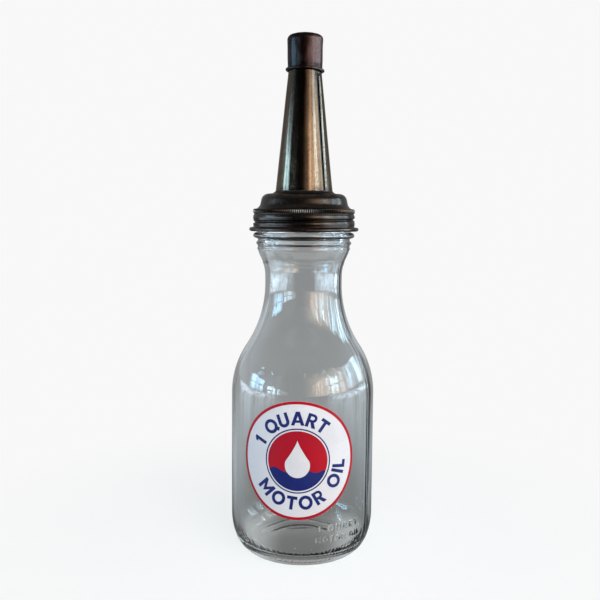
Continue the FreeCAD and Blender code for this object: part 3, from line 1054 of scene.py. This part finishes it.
LAMP_SIZE, LAMP_POWER = 1.4, 26
LAMP_PLACE, LAMP_AIM = (0.25, -1.2, 1.25), (0, 0, 0.1)

SENSOR, LENS = 36.0, 48.07
CAMERA_PLACE = (0.0, -0.568, 0.2404)
CAMERA_TURNS = (-0.235, 6.08, 0.42)                   # yaw, pitch down and roll, in degrees


def stage():
    """A pale floor to the camera. Glass and metal see it glow as grey as the room, with a painted
    shadow near the bottle, dark in front of it, and painted light under its foot and at both
    sides, where the windows' light is painted on it in streaks."""
    s = new_material("stage_floor")
    spot = s.place()
    far = s.node("VectorMath", {0: spot}, output=1, operation="LENGTH")
    apart = s.node("SeparateXYZ", {0: spot}).node.outputs
    beside = s.math("ABSOLUTE", apart[0])
    lit = s.node("BsdfDiffuse", {"Color": (0.4, 0.4, 0.4, 1)})
    base = s.node("Emission", {"Color": (0.55, 0.55, 0.55, 1)})
    near = s.node("AddShader", {0: lit, 1: base})
    glow = s.node("Emission", {"Color": (*PALE, 1)})
    pale = s.node("MixShader", {0: s.ease(far, 0.04, 0.35), 1: near, 2: glow})
    # painted shadow: the glow is darker near the bottle
    tone = s.mix(s.ease(far, 0.08, 0.45), FLOOR_NEAR_PAINTED_SHADOW, FLOOR_FAR)
    # painted light: the glow is brighter at both sides of the bottle
    painted_light_beside = s.times(s.ease(beside, 0.03, 0.2), s.ease(apart[1], 0.45, 0.15))
    tone = s.mix(painted_light_beside, tone, FLOOR_BESIDE_PAINTED_LIGHT)
    # painted light: the glow is brighter under the bottle's foot
    foot = s.times(s.ease(far, 0.075, 0.035), s.ease(beside, 0.012, 0.04))
    tone = s.mix(foot, tone, FLOOR_UNDER_PAINTED_LIGHT)
    beyond = s.node("Math", {0: beside, 1: 0.8, 2: apart[1]}, operation="MULTIPLY_ADD")
    behind = s.ease(beyond, -0.3, 0.0)
    tone = s.mix(behind, FLOOR_IN_FRONT, tone)
    # painted light: a streaked pool of the windows' light at both sides
    slant = s.math("DIVIDE", apart[1], s.math("MAXIMUM", beside, 0.05))
    streaks = s.node("CombineXYZ", {0: s.times(slant, 4.0),
                                    1: s.times(apart[0], 0.2)})
    streaks = s.node("TexNoise", {"Vector": streaks, "Scale": 2.2, "Detail": 4.0})
    pool = s.ramp(streaks, (0.44, 0.08), (0.51, 1.0))
    pool = s.times(pool, s.mix(s.ease(beside, 0.8, 1.5), (0.35, 0.35, 0.35), (1, 1, 1)))
    ahead = s.math("SUBTRACT", beside, s.times(apart[1], 1.6))
    for place, start, end in ((beside, 0.25, 0.6), (beside, 14.0, 6.0), (ahead, 0.0, 0.3)):
        pool = s.times(pool, s.ease(place, start, end))
    pool = s.times(pool, behind)
    tone = s.mix(pool, tone, FLOOR_LIT)
    dim = s.node("Emission", {"Color": tone})
    seen = s.node("LightPath", output=0)
    surface = s.surface(s.node("MixShader", {0: seen, 1: dim, 2: pale}))
    mesh = bpy.data.meshes.new("floor")
    corners = [(x * FLOOR_HALF, y * FLOOR_HALF, FLOOR_LEVEL)
               for x, y in ((-1, -1), (1, -1), (1, 1), (-1, 1))]
    mesh.from_pydata(corners, [], [(0, 1, 2, 3)])
    mesh.materials.append(surface)
    floor = add_object("floor", mesh)


def between(s, value, low, high):
    return s.times(s.math("GREATER_THAN", value, low), s.math("LESS_THAN", value, high))


def window(s, direction, side, along, up, panes, colour, low_colour):
    """A window in the wall on the right (side 1) or the left (side -1) of the bottle.

    along and up are its first and last edges on that wall, in units of the wall's distance,
    with along running away from the camera. panes is how many there are across and up.
    """
    x, y, z = direction
    ahead = s.math("MAXIMUM", s.times(x, side), 0.001)
    depth = s.math("DIVIDE", y, ahead)
    height = s.math("DIVIDE", z, ahead)
    across = s.remap(depth, *along, clamp=False)
    rise = s.remap(height, *up, clamp=False)
    glazed = s.times(between(s, across, 0, 1), between(s, rise, 0, 1))
    for place, count, bar in ((across, panes[0], BAR_ACROSS), (rise, panes[1], BAR_UP)):
        part = s.math("FRACT", s.times(place, count))
        glazed = s.times(glazed, between(s, part, bar / 2, 1 - bar / 2))
    glazed = s.times(glazed, s.ramp(rise, (0.0, 0.55), (0.25, 1.0)))
    spot = s.node("CombineXYZ", {0: s.times(depth, 5.0),
                                 1: s.times(height, 0.7), 2: float(side)})
    folds = s.node("TexNoise", {"Vector": spot, "Scale": 1.6, "Detail": 4.0})
    veil = s.ramp(folds, (0.42, 0.3), (0.54, 1.0))
    view = s.mix(s.ramp(rise, (0.05, 0.0), (0.5, 1.0)), low_colour, colour)
    return s.mix(1.0, s.mix(1.0, view, veil, "MULTIPLY"), glazed, "MULTIPLY")


def room():
    """A grey room with tall curtained windows on both sides, dim behind the camera."""
    world = bpy.data.worlds.new("room")
    bpy.context.scene.world = world
    s = Nodes(world, "OutputWorld")
    split = s.node("SeparateXYZ", {0: s.node("TexCoord", output=0)}).node
    direction = tuple(split.outputs)
    x, y, z = direction
    wall = s.remap(y, -0.45, 0.4, *WALL_TONES)
    ceiling = s.remap(z, 0.4, 0.8)
    beside = s.ease(s.math("ABSOLUTE", x), 0.1, 0.75)
    tone = s.mix(beside, (1, 1, 0.985), (1.45, 1.62, 1.75))
    grey = s.mix(ceiling, s.mix(1.0, tone, wall, "MULTIPLY"), CEILING)
    # The wall beside the first window on the right catches its light.
    slant = s.math("DIVIDE", x, s.math("MAXIMUM", s.times(y, -1.0), 0.05))
    lit_wall = s.times(s.ease(slant, -0.12, 0.75), s.math("LESS_THAN", y, -0.2))
    lit_wall = s.times(lit_wall, s.remap(z, 0.5, 0.38))
    light = s.mix(1.0, grey, s.mix(1.0, LIT_WALL, lit_wall, "MULTIPLY"), "ADD")
    for opening in WINDOWS:
        light = s.mix(1.0, light, window(s, direction, *opening), "ADD")
    seen = s.mix(s.node("LightPath", output=0), light, PALE)
    s.surface(s.node("Background", {"Color": seen}))


def overhead():
    """A broad soft light above that shows in no reflection."""
    light = bpy.data.lights.new("overhead", "AREA")
    light.size = LAMP_SIZE
    light.energy = LAMP_POWER
    lamp = add_object("overhead", light)
    lamp.location = LAMP_PLACE
    away = Vector(lamp.location) - Vector(LAMP_AIM)
    lamp.rotation_euler = away.to_track_quat("Z", "Y").to_euler()
    lamp.visible_camera = False
    lamp.visible_glossy = False
    lamp.visible_transmission = False


def camera():
    data = bpy.data.cameras.new("camera")
    data.sensor_width = SENSOR
    data.lens = LENS
    data.clip_start = 0.01
    view = add_object("camera", data)
    yaw, pitch, roll = (math.radians(a) for a in CAMERA_TURNS)
    forward = Vector((math.sin(yaw) * math.cos(pitch), math.cos(yaw) * math.cos(pitch),
                      -math.sin(pitch)))
    level = Vector((math.cos(yaw), -math.sin(yaw), 0))
    upward = level.cross(forward)
    right = math.cos(roll) * level + math.sin(roll) * upward
    up = -math.sin(roll) * level + math.cos(roll) * upward
    rows = zip(right, up, -forward, CAMERA_PLACE)
    view.matrix_world = Matrix((*rows, (0, 0, 0, 1)))
    bpy.context.scene.camera = view


stage()
room()
overhead()
camera()
bpy.context.scene.view_settings.view_transform = "Standard"
